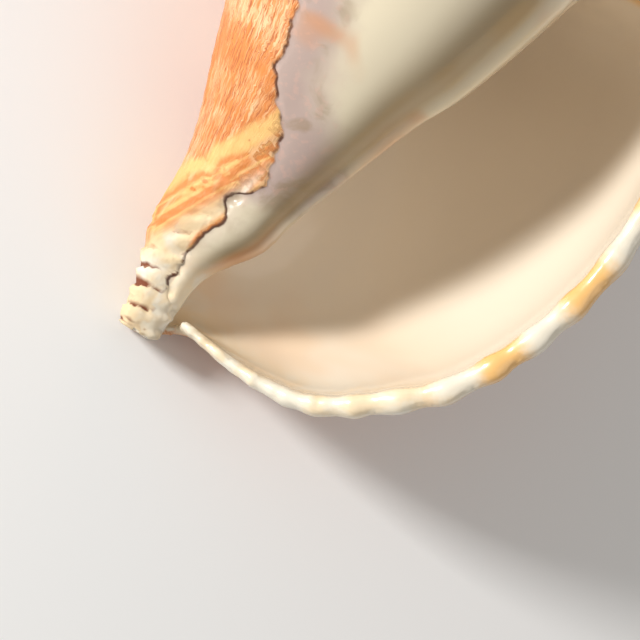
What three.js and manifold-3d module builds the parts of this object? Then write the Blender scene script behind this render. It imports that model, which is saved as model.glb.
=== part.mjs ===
// A large flared conch shell, lying on its back with the mouth up.
// It grew as one piece, so it is one solid: a core of older whorls, and the
// last whorl, a wall that winds round the core and spreads into the lip.
// Millimetres. The shell is drawn upright on its own coiling axis (apex up,
// canal tip near height 0, mouth towards -Y) and then laid down to rest.
import * as THREE from "three";
import { mergeVertices } from "three/addons/utils/BufferGeometryUtils.js";
import Module from "manifold-3d";

// Driving dimensions
const APEX = 198; // height of the apex above the canal's mouth
const TIP = -4; // height of the canal's tip
const GROWTH = 1.5; // size of a whorl over the one before it
const LIP_AZIMUTH = -0.21; // where the last whorl ends, in radians from +X
const LEFT_STAGE = -0.54; // turns before the lip at the shell's left side
const WALL = 2.8; // wall of the last whorl
const WALL_SINK = 1.5; // how deep the wall's start is sunk in the core
const WALL_TURNS = 0.16; // turns over which the wall comes out of the core
const LIP_THICKNESS = 6.4; // the wall at the lip's rolled rim
const FLARE_TURNS = 0.36; // how much of the last turn spreads into the lip
const KNOBS_PER_TURN = 9; // blunt knobs round the shoulder
const KNOB_HEIGHT = 5; // how far a full-size knob stands out
const LOBES = 19; // folds along the lip's rim
const LOBE_HEIGHT = 0.5; // how far a fold swells
const CORE_END = -0.75; // the stage where the solid core ends
const CORE_STEP = 0.05; // turns over which the core's end slopes in
const START_OVERLAP = 0.05; // turns of the wall that lie on the core
const WORN = 0.6; // how deep the back is worn flat where it lies
const SHOULDER_DEPTH = 74; // depth of the knobs below the apex, full size
const SHOULDER_SPREAD = 9; // how far a knob fades out along the height
const CANAL_FOOT = 34; // below this the older whorls' canals are slim
const CANAL_HEAD = 60; // above this they keep their full radius
const CANAL_SLIMMING = 0.62; // share of the radius the older canals give up
const CORD_TURN = -0.5; // the inner lip's cord, in radians from +X
const CORD_WIDTH = 0.12; // half-width of the cord, in radians
const CORD_HEIGHT = 2.4; // how far the cord stands out
const GLAZE_TURN = -1.05; // the middle of the glaze beside the cord
const GLAZE_WIDTH = 0.5; // half-width of that glaze, in radians
const GLAZE_HEIGHT = 1.6; // thickness of that glaze
const GLAZE_FOOT = 4; // the glaze starts to thicken at this height
const GLAZE_RISE = 30; // height over which it reaches full thickness
const GLAZE_HEAD = 132; // the glaze starts to thin out at this height
const GLAZE_FALL = 20; // height over which it ends
const GLAZE_STAGE = -0.6; // the glaze lies on stages before this one
const GLAZE_FADE = 0.1; // turns over which it begins there
const SLIMMING_TURNS = 0.12; // turns over which an older canal grows slim
const OLDER_WHORLS = 7; // how many turns the spire has
const THINNEST = 0.6; // radius of the core where it is thinnest
const BLUNTNESS = 0.4; // how far the spire stops short of the apex
const CORE_ROWS = 52; // rows of faces from the canal's tip to the apex
const CORE_COLUMNS = 56; // faces round the core
const CORE_CROWDING = 0.8; // under 1, rows crowd towards the apex
const WALL_ROWS = 34; // faces along the last whorl
const WALL_COLUMNS = 30; // faces across it
const WALL_CROWDING = 1.15; // above 1, they crowd towards the lip
const RIM_ROUNDNESS = 0.4; // how far the rim bulges, as a share of its thickness
const MERGE = 1e-4; // points this close are one point
const SMALLEST = 0.1; // faces smaller than this are merged away
const FLARE_POWER = 1.35; // above 1, the lip flares later
const RIM_TURNS = 0.1; // how much of the lip is thickened
const CANAL_SHARE = 0.42; // share of the rim that thins out at the canal

// Depth below the apex and radius of the upper profile, at full size
const UPPER_PROFILE = [
  [57, 36],
  [64.5, 49],
  [72, 58],
  [82, 60.5],
  [92, 60],
];
// Height, radius at the left stage, and how fast the radius grows, lower down
const LOWER_PROFILE = [
  [100, 41, 1.4],
  [84, 33.8, 1.6],
  [70, 27.6, 1.5],
  [55, 20.8, 1.2],
  [44, 17, 1.1],
  [32, 14.2, 0.6],
  [18, 8.6, 0.2],
  [6, 6.2, 0.1],
  [-4, 5, 0],
];
// Radius and height along the lip's rim, from the spire round to the canal
const LIP_PROFILE = [
  [35, 141],
  [48, 148],
  [63, 148],
  [75, 140],
  [82, 125],
  [86, 106],
  [87, 86],
  [85, 68],
  [81, 53],
  [75, 39],
  [68, 27],
  [59, 17.5],
  [49, 11],
  [39, 8],
  [28, 6.5],
  [17, 6.5],
  [8.5, 7],
];
// Height and sideways place of the shell's middle line near the canal
const MIDDLE_LINE = [
  [60, 0],
  [36, -0.5],
  [26, -3],
  [18, -3.7],
  [6, -1.8],
  [-4, -0.4],
];

// The shell's own direction that points up once it lies at rest
const REST_UP = new THREE.Vector3(0.32127, -0.87336, 0.36609).normalize();

const TURN = 2 * Math.PI;
const smooth = (x) => THREE.MathUtils.smoothstep(x, 0, 1);
const bell = (x) => Math.exp(-x * x);

/** Value at x of the smooth curve through [x, y] knots whose x falls. */
function along(knots, x) {
  const last = knots.length - 1;
  if (x >= knots[0][0]) return knots[0][1];
  if (x <= knots[last][0]) return knots[last][1];
  let i = 0;
  while (x < knots[i + 1][0]) i++;
  const slope = (a, b) =>
    (knots[b][1] - knots[a][1]) / (knots[b][0] - knots[a][0]);
  const step = knots[i + 1][0] - knots[i][0];
  const t = (x - knots[i][0]) / step;
  const m0 = slope(Math.max(i - 1, 0), i + 1) * step;
  const m1 = slope(i, Math.min(i + 2, last)) * step;
  const [y0, y1] = [knots[i][1], knots[i + 1][1]];
  return (
    y0 * (2 * t ** 3 - 3 * t ** 2 + 1) +
    m0 * (t ** 3 - 2 * t ** 2 + t) +
    y1 * (3 * t ** 2 - 2 * t ** 3) +
    m1 * (t ** 3 - t ** 2)
  );
}

const sizeAt = (stage) => GROWTH ** stage;
const sutureHeight = (stage) => APEX - UPPER_PROFILE[0][0] * sizeAt(stage);

/** Radius of the whorl made at a stage, at a height; 0 above its suture. */
function whorlRadius(stage, height) {
  if (height > sutureHeight(stage)) return 0;
  const size = sizeAt(stage);
  const since = sizeAt(stage - LEFT_STAGE);
  const knots = [
    ...UPPER_PROFILE.map(([depth, r]) => [APEX - depth * size, r * size]),
    ...LOWER_PROFILE.map(([h, r, power]) => [h, r * since ** power]),
  ];
  const shoulder = (height - APEX) / size + SHOULDER_DEPTH;
  const knob = (0.5 + 0.5 * Math.cos(TURN * KNOBS_PER_TURN * stage)) ** 2;
  const radius =
    along(knots, height) +
    KNOB_HEIGHT * size * knob * bell(shoulder / SHOULDER_SPREAD);
  const canal = 1 - smooth((height - CANAL_FOOT) / (CANAL_HEAD - CANAL_FOOT));
  const inside = smooth((-1 - stage) / SLIMMING_TURNS);
  return radius * (1 - CANAL_SLIMMING * canal * inside);
}

/** The inner lip: glaze that swells over the front and ends in a round cord. */
function glaze(azimuth, height) {
  const turn = THREE.MathUtils.euclideanModulo(azimuth, TURN) - TURN;
  const body =
    smooth((height - GLAZE_FOOT) / GLAZE_RISE) *
    (1 - smooth((height - GLAZE_HEAD) / GLAZE_FALL));
  const cord = CORD_HEIGHT * bell((turn - CORD_TURN) / CORD_WIDTH);
  const swell = GLAZE_HEIGHT * bell((turn - GLAZE_TURN) / GLAZE_WIDTH);
  return body * (cord + swell);
}

/** Radius of the solid core of older whorls. */
function coreRadius(azimuth, height) {
  const back = THREE.MathUtils.euclideanModulo(
    (azimuth - LIP_AZIMUTH) / TURN + CORE_END,
    1,
  );
  const stage = CORE_END - back;
  let radius = 0;
  for (let turn = 0; turn < OLDER_WHORLS; turn++)
    radius = Math.max(radius, whorlRadius(stage - turn, height));
  const shut = smooth((back - (1 - CORE_STEP)) / CORE_STEP);
  if (shut > 0)
    radius += shut * Math.max(whorlRadius(stage + 1, height) - radius, 0);
  return Math.max(radius + glaze(azimuth, height), THINNEST);
}

/** A point of the shell at an azimuth, radius and height. */
function place(azimuth, radius, height) {
  return new THREE.Vector3(
    along(MIDDLE_LINE, height) + radius * Math.cos(azimuth),
    radius * Math.sin(azimuth),
    height,
  );
}

/** Closed geometry from rows of points: each row a ring, the ends capped. */
function closedRings(rings) {
  const count = rings[0].length;
  const points = rings.flat();
  const faces = [];
  const cap = (ring, reversed) => {
    const centre = new THREE.Vector3();
    ring.forEach((p) => centre.addScaledVector(p, 1 / count));
    points.push(centre);
    const start = points.length - 1;
    const first = rings.indexOf(ring) * count;
    for (let j = 0; j < count; j++) {
      const [a, b] = [first + j, first + ((j + 1) % count)];
      faces.push(...(reversed ? [start, a, b] : [start, b, a]));
    }
  };
  for (let i = 0; i + 1 < rings.length; i++)
    for (let j = 0; j < count; j++) {
      const k = (j + 1) % count;
      const [a, b] = [i * count + j, i * count + k];
      const [c, d] = [a + count, b + count];
      faces.push(a, b, d, a, d, c);
    }
  cap(rings[0], false);
  cap(rings[rings.length - 1], true);
  const geometry = new THREE.BufferGeometry().setFromPoints(points);
  geometry.setIndex(faces);
  return geometry;
}

/** The core: rings round the axis from the canal's tip to the apex. */
function coreGeometry() {
  const rings = [];
  const length = APEX - BLUNTNESS - TIP;
  for (let i = 0; i <= CORE_ROWS; i++) {
    const height = TIP + length * (i / CORE_ROWS) ** CORE_CROWDING;
    const ring = [];
    for (let j = 0; j < CORE_COLUMNS; j++) {
      const azimuth = LIP_AZIMUTH + (TURN * j) / CORE_COLUMNS;
      ring.push(place(azimuth, coreRadius(azimuth, height), height));
    }
    rings.push(ring);
  }
  return closedRings(rings);
}

const lipCurve = new THREE.SplineCurve(
  LIP_PROFILE.map(([r, h]) => new THREE.Vector2(r, h)),
);

/** A point of the last whorl's inner face; across runs from suture to canal. */
function innerFace(stage, across) {
  const spread = smooth((stage + FLARE_TURNS) / FLARE_TURNS) ** FLARE_POWER;
  const height = THREE.MathUtils.lerp(sutureHeight(stage), TIP, across);
  const azimuth = LIP_AZIMUTH - TURN * stage;
  const front = 1 - smooth((stage - GLAZE_STAGE) / GLAZE_FADE);
  const radius = whorlRadius(stage, height) + front * glaze(azimuth, height);
  const rim = lipCurve.getPoint(across);
  return place(
    azimuth,
    THREE.MathUtils.lerp(radius, rim.x, spread),
    THREE.MathUtils.lerp(height, rim.y, spread),
  );
}

/** Normal of that face, pointing into the hollow. */
function inwards(stage, across) {
  const e = 0.004;
  const [s0, s1] = [stage - e, Math.min(stage + e, 0)];
  const [a0, a1] = [Math.max(across - e, 0), Math.min(across + e, 1)];
  const growing = innerFace(s1, across).sub(innerFace(s0, across));
  const crossing = innerFace(stage, a1).sub(innerFace(stage, a0));
  return crossing.cross(growing).normalize();
}

/** The last whorl's wall: each ring runs out to the lip and back outside. */
function wallGeometry() {
  const first = CORE_END - START_OVERLAP;
  const rings = [];
  for (let j = 0; j <= WALL_COLUMNS; j++) {
    const across = j / WALL_COLUMNS;
    const [inner, outer] = [[], []];
    for (let i = 0; i <= WALL_ROWS; i++) {
      const stage = first * (1 - i / WALL_ROWS) ** WALL_CROWDING;
      const rim =
        smooth((stage + RIM_TURNS) / RIM_TURNS) *
        smooth((1 - across) / CANAL_SHARE);
      const lobe = Math.cos(TURN * LOBES * across);
      const swell = rim * LOBE_HEIGHT * (1 + lobe);
      const thickness = WALL + rim * (LIP_THICKNESS - WALL) + swell;
      const sunk = 1 - smooth((stage - first) / WALL_TURNS);
      const out = thickness - sunk * (thickness + WALL_SINK / 4);
      const point = innerFace(stage, across);
      const normal = inwards(stage, across);
      inner.push(point.clone().addScaledVector(normal, sunk * WALL_SINK));
      outer.push(point.clone().addScaledVector(normal, -out));
    }
    const [edge, back] = [inner[WALL_ROWS], outer[WALL_ROWS]];
    const lipwards = edge.clone().sub(inner[WALL_ROWS - 1]).normalize();
    const middle = edge.clone().add(back).multiplyScalar(0.5);
    middle.addScaledVector(lipwards, edge.distanceTo(back) * RIM_ROUNDNESS);
    rings.push([...inner, middle, ...outer.reverse()]);
  }
  return closedRings(rings.reverse());
}

const wasm = await Module();
wasm.setup();

/** A manifold solid of a closed geometry. */
function solidOf(geometry) {
  const merged = mergeVertices(geometry, MERGE);
  return new wasm.Manifold(
    new wasm.Mesh({
      numProp: 3,
      vertProperties: new Float32Array(merged.attributes.position.array),
      triVerts: new Uint32Array(merged.index.array),
    }),
  );
}

const core = solidOf(coreGeometry());
const wall = solidOf(wallGeometry());
const joined = core.add(wall).simplify(SMALLEST);
const whole = joined.decompose().sort((a, b) => b.volume() - a.volume())[0];


/** The solid with its lowest side, as it lies, worn flat. */
function worn(solid) {
  const points = new THREE.BufferAttribute(solid.getMesh().vertProperties, 3);
  const point = new THREE.Vector3();
  let lowest = Infinity;
  for (let i = 0; i < points.count; i++)
    lowest = Math.min(lowest, point.fromBufferAttribute(points, i).dot(REST_UP));
  return solid.trimByPlane(REST_UP.toArray(), lowest + WORN).simplify(SMALLEST / 2);
}

const mesh = worn(whole).getMesh();
const geometry = new THREE.BufferGeometry()
  .setAttribute("position", new THREE.BufferAttribute(mesh.vertProperties, 3))
  .setIndex(new THREE.BufferAttribute(mesh.triVerts, 1));

// How the shell lies: on its back with the apex towards +X, centred over the
// origin and touching the ground.
const forward = new THREE.Vector3(0, 0, 1).projectOnPlane(REST_UP).normalize();
const sideways = REST_UP.clone().cross(forward);
const turned = new THREE.Matrix4().makeBasis(forward, sideways, REST_UP);
geometry.applyMatrix4(turned.transpose());
geometry.computeBoundingBox();
const { min, max } = geometry.boundingBox;
geometry.translate(-(min.x + max.x) / 2, -(min.y + max.y) / 2, -min.z);

const shell = new THREE.Mesh(
  geometry,
  new THREE.MeshStandardMaterial({ color: 0xe9d3b4, roughness: 0.3, metalness: 0 }),
);
shell.name = "shell";

const conch = new THREE.Group();
conch.add(shell);

export default conch;
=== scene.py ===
"""A large flared conch shell resting on its back, mouth up, on a pale floor."""

import logging
import math
from dataclasses import dataclass, field
from enum import Enum

import bpy
import numpy as np
from mathutils import Matrix, Vector, kdtree

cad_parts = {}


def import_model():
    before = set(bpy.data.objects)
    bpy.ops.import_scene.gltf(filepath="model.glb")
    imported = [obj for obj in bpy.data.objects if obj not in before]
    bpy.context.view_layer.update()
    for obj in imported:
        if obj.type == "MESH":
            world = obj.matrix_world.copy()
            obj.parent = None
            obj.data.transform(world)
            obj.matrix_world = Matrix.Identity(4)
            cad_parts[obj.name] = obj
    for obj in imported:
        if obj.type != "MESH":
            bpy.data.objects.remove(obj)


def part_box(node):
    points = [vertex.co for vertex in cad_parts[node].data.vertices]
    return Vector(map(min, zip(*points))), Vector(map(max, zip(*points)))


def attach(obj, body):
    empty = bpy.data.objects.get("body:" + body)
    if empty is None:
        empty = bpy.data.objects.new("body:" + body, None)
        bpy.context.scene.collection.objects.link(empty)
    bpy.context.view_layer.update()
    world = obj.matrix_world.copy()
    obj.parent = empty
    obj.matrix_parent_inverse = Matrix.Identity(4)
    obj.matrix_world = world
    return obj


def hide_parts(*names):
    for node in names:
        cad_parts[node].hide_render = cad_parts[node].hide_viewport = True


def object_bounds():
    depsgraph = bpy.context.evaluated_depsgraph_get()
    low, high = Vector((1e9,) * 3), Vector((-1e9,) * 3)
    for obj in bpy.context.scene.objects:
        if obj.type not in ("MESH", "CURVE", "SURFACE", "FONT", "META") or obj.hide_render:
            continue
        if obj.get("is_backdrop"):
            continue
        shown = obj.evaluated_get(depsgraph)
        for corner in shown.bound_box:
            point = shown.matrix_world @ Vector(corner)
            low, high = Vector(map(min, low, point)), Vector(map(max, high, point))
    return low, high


log = logging.getLogger("conch")
MM = 0.001
TURN = 2.0 * math.pi
HAIR = 1e-6  # a share too small to tell from an end
SEAM = 0.02  # points this close are one point, in mm
SLIVER = 0.001  # edges shorter than this are dissolved, in mm
MIX_COLOUR_INPUTS = (0, 6, 7)  # a colour mix's factor and its two colours
MIX_COLOUR_OUTPUT = 2  # and its colour
Triple = tuple[float, float, float]
Span = tuple[float, float]


def smooth(x: np.ndarray) -> np.ndarray:
    """Ease from 0 to 1 as x goes from 0 to 1.

    Args:
        x: Any array or number.

    Returns:
        The eased values.
    """
    t = np.clip(x, 0.0, 1.0)
    return t * t * (3.0 - 2.0 * t)


def bell(x: np.ndarray) -> np.ndarray:
    """Return a bell curve that is 1 at x = 0."""
    return np.exp(-x * x)


def along(xs: np.ndarray, ys: np.ndarray, x: np.ndarray) -> np.ndarray:
    """Follow a smooth curve through knots whose x falls.

    Args:
        xs: Knot positions, one row per knot.
        ys: Knot values, one row per knot.
        x: Where to read the curve.

    Returns:
        The curve's value at each x.
    """
    count = x.shape[0]
    xs = np.broadcast_to(np.asarray(xs, float).reshape(len(xs), -1), (len(xs), count))
    ys = np.broadcast_to(np.asarray(ys, float).reshape(len(ys), -1), (len(ys), count))
    last = len(xs) - 1
    x = np.clip(x, xs[last], xs[0])
    i = np.clip((x < xs).sum(axis=0) - 1, 0, last - 1)

    def at(table: np.ndarray, row: np.ndarray) -> np.ndarray:
        """Read one knot row per point."""
        return np.take_along_axis(table, row[None, :], axis=0)[0]

    def slope(a: np.ndarray, b: np.ndarray) -> np.ndarray:
        """Slope between two knots."""
        return (at(ys, b) - at(ys, a)) / (at(xs, b) - at(xs, a))

    step = at(xs, i + 1) - at(xs, i)
    t = (x - at(xs, i)) / step
    m0 = slope(np.maximum(i - 1, 0), i + 1) * step
    m1 = slope(i, np.minimum(i + 2, last)) * step
    y0, y1 = at(ys, i), at(ys, i + 1)
    return (
        y0 * (2 * t**3 - 3 * t**2 + 1) + m0 * (t**3 - 2 * t**2 + t)
        + y1 * (3 * t**2 - 2 * t**3) + m1 * (t**3 - t**2)
    )


@dataclass(frozen=True)
class GrowthForm:
    """The law of growth that shapes the shell, upright on its coiling axis, in mm."""

    apex: float = 198.0
    tip: float = -4.0
    growth: float = 1.5
    lip_azimuth: float = -0.21
    left_stage: float = -0.54
    core_end: float = -0.75
    core_step: float = 0.05
    start_overlap: float = 0.05
    wall: float = 2.8
    wall_sink: float = 1.5
    wall_turns: float = 0.16
    lip_thickness: float = 6.4
    flare_turns: float = 0.36
    flare_power: float = 1.35
    rim_turns: float = 0.1
    canal_share: float = 0.42
    knobs_per_turn: int = 9
    knob_height: float = 5.0
    shoulder_depth: float = 74.0
    shoulder_spread: float = 9.0
    canal_foot: float = 34.0
    canal_head: float = 60.0
    canal_slimming: float = 0.62
    lobes: int = 19
    lobe_height: float = 0.5
    cord_turn: float = -0.5
    cord_width: float = 0.12
    cord_height: float = 2.4
    glaze_turn: float = -1.05
    glaze_width: float = 0.5
    glaze_height: float = 1.6
    glaze_foot: float = 4.0
    glaze_rise: float = 30.0
    glaze_head: float = 132.0
    glaze_fall: float = 20.0
    glaze_stage: float = -0.6
    glaze_fade: float = 0.1
    slimming_turns: float = 0.12
    older_whorls: int = 7
    thinnest: float = 0.6
    bluntness: float = 0.4
    probe: float = 0.004
    upper: tuple = ((57, 36), (64.5, 49), (72, 58), (82, 60.5), (92, 60))
    lower: tuple = (
        (100, 41, 1.4), (84, 33.8, 1.6), (70, 27.6, 1.5), (55, 20.8, 1.2), (44, 17, 1.1),
        (32, 14.2, 0.6), (18, 8.6, 0.2), (6, 6.2, 0.1), (-4, 5, 0),
    )
    lip: tuple = (
        (35, 141), (48, 148), (63, 148), (75, 140), (82, 125), (86, 106), (87, 86),
        (85, 68), (81, 53), (75, 39), (68, 27), (59, 17.5), (49, 11), (39, 8),
        (28, 6.5), (17, 6.5), (8.5, 7),
    )
    middle: tuple = ((60, 0), (36, -0.5), (26, -3), (18, -3.7), (6, -1.8), (-4, -0.4))

    def size_at(self, stage: np.ndarray) -> np.ndarray:
        """Return the size of the shell at a stage, 1 at the lip."""
        return self.growth**stage

    def suture(self, stage: np.ndarray) -> np.ndarray:
        """Return the height of the join with the whorl before."""
        return self.apex - self.upper[0][0] * self.size_at(stage)

    def middle_at(self, height: np.ndarray) -> np.ndarray:
        """Return the sideways place of the middle line."""
        knots = np.array(self.middle, float)
        return along(knots[:, 0], knots[:, 1], height)

    def whorl_radius(self, stage: np.ndarray, height: np.ndarray) -> np.ndarray:
        """Radius of the whorl made at a stage.

        Args:
            stage: Turns before the lip, as negative numbers.
            height: Height on the coiling axis.

        Returns:
            The radius, 0 above the whorl's join.
        """
        size = self.size_at(stage)
        since = self.size_at(stage - self.left_stage)
        xs = [self.apex - d * size for d, _ in self.upper]
        ys = [r * size for _, r in self.upper]
        xs += [np.full_like(height, h) for h, _, _ in self.lower]
        ys += [r * since**power for _, r, power in self.lower]
        shoulder = (height - self.apex) / size + self.shoulder_depth
        knob = (0.5 + 0.5 * np.cos(TURN * self.knobs_per_turn * stage)) ** 2
        radius = along(np.array(xs), np.array(ys), height)
        radius = radius + self.knob_height * size * knob * bell(shoulder / self.shoulder_spread)
        canal = 1 - smooth((height - self.canal_foot) / (self.canal_head - self.canal_foot))
        inside = smooth((-1 - stage) / self.slimming_turns)
        radius = radius * (1 - self.canal_slimming * canal * inside)
        return np.where(height > self.suture(stage), 0.0, radius)

    def glaze(self, azimuth: np.ndarray, height: np.ndarray) -> np.ndarray:
        """Return the swelling of the inner lip and its round cord."""
        turn = np.mod(azimuth, TURN) - TURN
        body = smooth((height - self.glaze_foot) / self.glaze_rise)
        body = body * (1 - smooth((height - self.glaze_head) / self.glaze_fall))
        cord = self.cord_height * bell((turn - self.cord_turn) / self.cord_width)
        swell = self.glaze_height * bell((turn - self.glaze_turn) / self.glaze_width)
        return body * (cord + swell)

    def core_radius(self, azimuth: np.ndarray, height: np.ndarray) -> np.ndarray:
        """Radius of the solid core of older whorls.

        Args:
            azimuth: Angle round the axis.
            height: Height on the axis.

        Returns:
            The radius of the core.
        """
        back = np.mod((azimuth - self.lip_azimuth) / TURN + self.core_end, 1.0)
        stage = self.core_end - back
        radius = np.zeros_like(height)
        for turn in range(self.older_whorls):
            radius = np.maximum(radius, self.whorl_radius(stage - turn, height))
        shut = smooth((back - (1 - self.core_step)) / self.core_step)
        radius = radius + shut * np.maximum(self.whorl_radius(stage + 1, height) - radius, 0)
        return np.maximum(radius + self.glaze(azimuth, height), self.thinnest)

    def place(self, azimuth: np.ndarray, radius: np.ndarray, height: np.ndarray) -> np.ndarray:
        """Return points at an azimuth, radius and height."""
        x = self.middle_at(height) + radius * np.cos(azimuth)
        return np.stack([x, radius * np.sin(azimuth), height], axis=1)

    def lip_point(self, across: np.ndarray) -> tuple[np.ndarray, np.ndarray]:
        """Follow the lip's rim.

        Args:
            across: 0 at the spire, 1 at the canal.

        Returns:
            Radius and height along the rim.
        """
        knots = np.array(self.lip, float)
        last = len(knots) - 1
        p = across * last
        i = np.clip(np.floor(p).astype(int), 0, last - 1)
        w = (p - i)[:, None]
        p0 = knots[np.maximum(i - 1, 0)]
        p1, p2 = knots[i], knots[i + 1]
        p3 = knots[np.minimum(i + 2, last)]
        v0, v1 = (p2 - p0) * 0.5, (p3 - p1) * 0.5
        out = (2 * p1 - 2 * p2 + v0 + v1) * w**3
        out = out + (-3 * p1 + 3 * p2 - 2 * v0 - v1) * w**2 + v0 * w + p1
        return out[:, 0], out[:, 1]

    def inner_face(self, stage: np.ndarray, across: np.ndarray) -> np.ndarray:
        """Points of the last whorl's inner face.

        Args:
            stage: Turns before the lip.
            across: 0 at the join with the whorl before, 1 at the canal.

        Returns:
            One point per row.
        """
        spread = smooth((stage + self.flare_turns) / self.flare_turns) ** self.flare_power
        top = self.suture(stage)
        height = top + (self.tip - top) * across
        azimuth = self.lip_azimuth - TURN * stage
        front = 1 - smooth((stage - self.glaze_stage) / self.glaze_fade)
        radius = self.whorl_radius(stage, np.minimum(height, top))
        radius = radius + front * self.glaze(azimuth, height)
        rim_r, rim_h = self.lip_point(across)
        return self.place(
            azimuth, radius + (rim_r - radius) * spread, height + (rim_h - height) * spread
        )

    def inwards(self, stage: np.ndarray, across: np.ndarray) -> np.ndarray:
        """Normals of that face, pointing into the hollow.

        Args:
            stage: Turns before the lip.
            across: 0 at the join, 1 at the canal.

        Returns:
            One unit vector per row.
        """
        e = self.probe
        growing = self.inner_face(np.minimum(stage + e, 0), across)
        growing = growing - self.inner_face(stage - e, across)
        crossing = self.inner_face(stage, np.minimum(across + e, 1))
        crossing = crossing - self.inner_face(stage, np.maximum(across - e, 0))
        normal = np.cross(crossing, growing)
        return normal / np.linalg.norm(normal, axis=1, keepdims=True)


@dataclass(frozen=True)
class Resting:
    """How the shell lies: its own up direction, and how deep its back is worn, in mm."""

    up: Triple = (0.32127, -0.87336, 0.36609)
    worn: float = 0.6

    def basis(self) -> np.ndarray:
        """Return the turn from the shell's own axes to the world's."""
        up = np.array(self.up) / np.linalg.norm(self.up)
        forward = np.array((0.0, 0.0, 1.0)) - up[2] * up
        forward = forward / np.linalg.norm(forward)
        return np.array([forward, np.cross(up, forward), up])

    def shift(self, points: np.ndarray, box: tuple[Vector, Vector]) -> np.ndarray:
        """Shift that puts turned points in the middle of a box, on its floor.

        Args:
            points: Turned points in metres.
            box: Lowest and highest corner of the space to sit in.

        Returns:
            The shift in metres.
        """
        low, high = np.array(box[0]), np.array(box[1])
        middle = (low + high) / 2 - (points.min(axis=0) + points.max(axis=0)) / 2
        middle[2] = low[2] - points[:, 2].min() - self.worn * MM
        return middle


class Face(Enum):
    """Which sheet of the shell a sample lies on."""

    CORE = 0
    OUTER = 1
    INNER = 2
    RIM = 3


@dataclass
class Samples:
    """Points of the growth form with their growth coordinates."""

    points: np.ndarray
    stage: np.ndarray
    across: np.ndarray
    face: np.ndarray


def add_grid(name: str, rows: int, columns: int) -> bpy.types.Object:
    """Add a flat grid to be shaped, with rows + 1 by columns + 1 points.

    Args:
        name: Name of the new object.
        rows: Steps along the first direction.
        columns: Steps along the second direction.

    Returns:
        The new object, selected and active.
    """
    bpy.ops.object.select_all(action="DESELECT")
    bpy.ops.mesh.primitive_grid_add(x_subdivisions=columns, y_subdivisions=rows, size=2.0)
    grid = bpy.context.object
    grid.name = name
    return grid


def read_points(piece: bpy.types.Object) -> np.ndarray:
    """Return a mesh's points as rows."""
    flat = np.empty(len(piece.data.vertices) * 3)
    piece.data.vertices.foreach_get("co", flat)
    return flat.reshape(-1, 3)


def write_points(piece: bpy.types.Object, points: np.ndarray) -> None:
    """Move a mesh's points."""
    piece.data.vertices.foreach_set("co", points.ravel())
    piece.data.update()


def close_seams(piece: bpy.types.Object) -> None:
    """Merge a shaped grid's meeting edges and turn its faces outwards."""
    bpy.ops.object.mode_set(mode="EDIT")
    bpy.ops.mesh.select_all(action="SELECT")
    bpy.ops.mesh.remove_doubles(threshold=SEAM)
    bpy.ops.mesh.dissolve_degenerate(threshold=SLIVER)
    bpy.ops.mesh.normals_make_consistent(inside=False)
    bpy.ops.object.mode_set(mode="OBJECT")


@dataclass
class CoreWhorls:
    """The spire, the column and the canal: older whorls wound on each other."""

    form: GrowthForm
    rows: int = 250
    columns: int = 300
    crowding: float = 0.9

    def build(self) -> tuple[bpy.types.Object, Samples]:
        """Shape a grid round the coiling axis.

        Returns:
            The closed piece, in mm on its own axis, and its samples.
        """
        grid = add_grid("core_whorls", self.rows, self.columns)
        flat = read_points(grid)
        u, v = (flat[:, 0] + 1) / 2, (flat[:, 1] + 1) / 2
        form = self.form
        span = form.apex - form.bluntness - form.tip
        height = form.tip + span * v**self.crowding
        azimuth = form.lip_azimuth + TURN * u
        radius = form.core_radius(azimuth, height)
        ends = (v < HAIR) | (v > 1 - HAIR)
        points = form.place(azimuth, np.where(ends, 0.0, radius), height)
        write_points(grid, points)
        face = np.full(len(points), Face.CORE.value)
        close_seams(grid)
        return grid, Samples(points, np.zeros(len(points)), v, face)


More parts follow.
